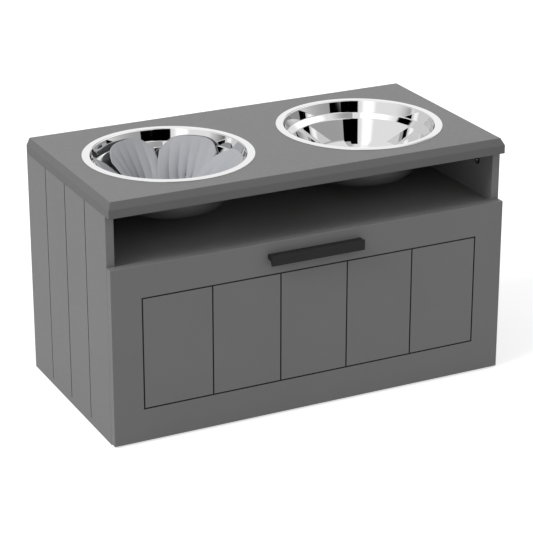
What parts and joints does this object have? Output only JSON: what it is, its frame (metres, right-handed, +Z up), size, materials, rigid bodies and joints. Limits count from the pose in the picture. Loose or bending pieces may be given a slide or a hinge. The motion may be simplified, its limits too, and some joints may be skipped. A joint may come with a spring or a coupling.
{
  "type": "elevated dog feeder with storage",
  "caption": "Raised feeding cabinet: lift-out steel bowls in a table top, a petal slow-feed insert, an open niche and a planked storage drawer on roller runners.",
  "frame": {"origin": "on the floor under the middle of the table top, at the centre of the bottom board's underside", "axes": "+X to the right along the width, +Y to the back, +Z up; the drawer opens towards -Y"},
  "size_m": [0.6, 0.313, 0.3511],
  "materials": {
    "painted_board": "satin grey paint on fibreboard",
    "drawer_board": "satin grey paint on fibreboard, inside the drawer",
    "back_board": "matt grey painted thin fibreboard",
    "polished_steel": "mirror polished stainless steel",
    "zinc_steel": "bright zinc plate",
    "runner_steel": "white powder coat on sheet steel",
    "roller_nylon": "moulded nylon",
    "dowel_wood": "bare beech",
    "black_handle": "black anodised, fine satin",
    "petal_silicone": "matt grey silicone",
    "cup_silicone": "satin grey silicone"
  },
  "bodies": {
    "cabinet": {"top_panel": "painted_board", "left_side_panel": "painted_board", "right_side_panel": "painted_board", "back_panel": "back_board", "shelf_panel": "painted_board", "bottom_panel": "painted_board", "cabinet_cam_bolts": "zinc_steel", "cabinet_cam_discs": "zinc_steel", "cabinet_dowels": "dowel_wood", "back_screws": "zinc_steel", "cabinet_left_runner": "runner_steel", "cabinet_right_runner": "runner_steel", "cabinet_runner_screws": "zinc_steel", "cabinet_roller_pins": "zinc_steel"},
    "drawer": {"drawer_front": "painted_board", "drawer_left_side": "drawer_board", "drawer_right_side": "drawer_board", "drawer_back": "drawer_board", "drawer_bottom": "back_board", "drawer_cam_bolts": "zinc_steel", "drawer_cam_discs": "zinc_steel", "drawer_dowels": "dowel_wood", "drawer_screws": "zinc_steel", "drawer_left_runner": "runner_steel", "drawer_right_runner": "runner_steel", "drawer_runner_screws": "zinc_steel", "drawer_roller_pins": "zinc_steel", "handle": "black_handle", "handle_screws": "zinc_steel"},
    "front_left_wheel": {"front_left_roller": "roller_nylon"},
    "front_right_wheel": {"front_right_roller": "roller_nylon"},
    "rear_left_wheel": {"rear_left_roller": "roller_nylon"},
    "rear_right_wheel": {"rear_right_roller": "roller_nylon"},
    "left_dish": {"left_bowl": "polished_steel"},
    "right_dish": {"right_bowl": "polished_steel"},
    "slow_feed_insert": {"insert_petals": "petal_silicone", "insert_suction_cup": "cup_silicone"}
  },
  "joints": [
    {"name": "drawer_slide", "type": "slide", "parent": "cabinet", "child": "drawer", "axis": [0, -1, 0], "range_m": [0, 0.2]},
    {"name": "left_bowl_lift", "type": "slide", "parent": "cabinet", "child": "left_dish", "axis": [0, 0, 1], "range_m": [0, 0.1]},
    {"name": "right_bowl_lift", "type": "slide", "parent": "cabinet", "child": "right_dish", "axis": [0, 0, 1], "range_m": [0, 0.1]},
    {"name": "insert_lift", "type": "slide", "parent": "left_dish", "child": "slow_feed_insert", "axis": [0, 0, 1], "range_m": [0, 0.09]},
    {"name": "front_left_roller_spin", "type": "hinge", "parent": "cabinet", "child": "front_left_wheel", "pos_m": [-0.28175, -0.1255, 0.02645], "axis": [1, 0, 0], "range_deg": [-5, 1650]},
    {"name": "front_right_roller_spin", "type": "hinge", "parent": "cabinet", "child": "front_right_wheel", "pos_m": [0.28175, -0.1255, 0.02645], "axis": [1, 0, 0], "range_deg": [-5, 1650]},
    {"name": "rear_left_roller_spin", "type": "hinge", "parent": "drawer", "child": "rear_left_wheel", "pos_m": [-0.28175, 0.102, 0.02405], "axis": [1, 0, 0], "range_deg": [-5, 1650]},
    {"name": "rear_right_roller_spin", "type": "hinge", "parent": "drawer", "child": "rear_right_wheel", "pos_m": [0.28175, 0.102, 0.02405], "axis": [1, 0, 0], "range_deg": [-5, 1650]}
  ],
  "couplings": [
    {"joint": "front_left_roller_spin", "follows": "drawer_slide", "rad_per_m": 142.86},
    {"joint": "front_right_roller_spin", "follows": "drawer_slide", "rad_per_m": 142.86},
    {"joint": "rear_left_roller_spin", "follows": "drawer_slide", "rad_per_m": 142.86},
    {"joint": "rear_right_roller_spin", "follows": "drawer_slide", "rad_per_m": 142.86}
  ]
}
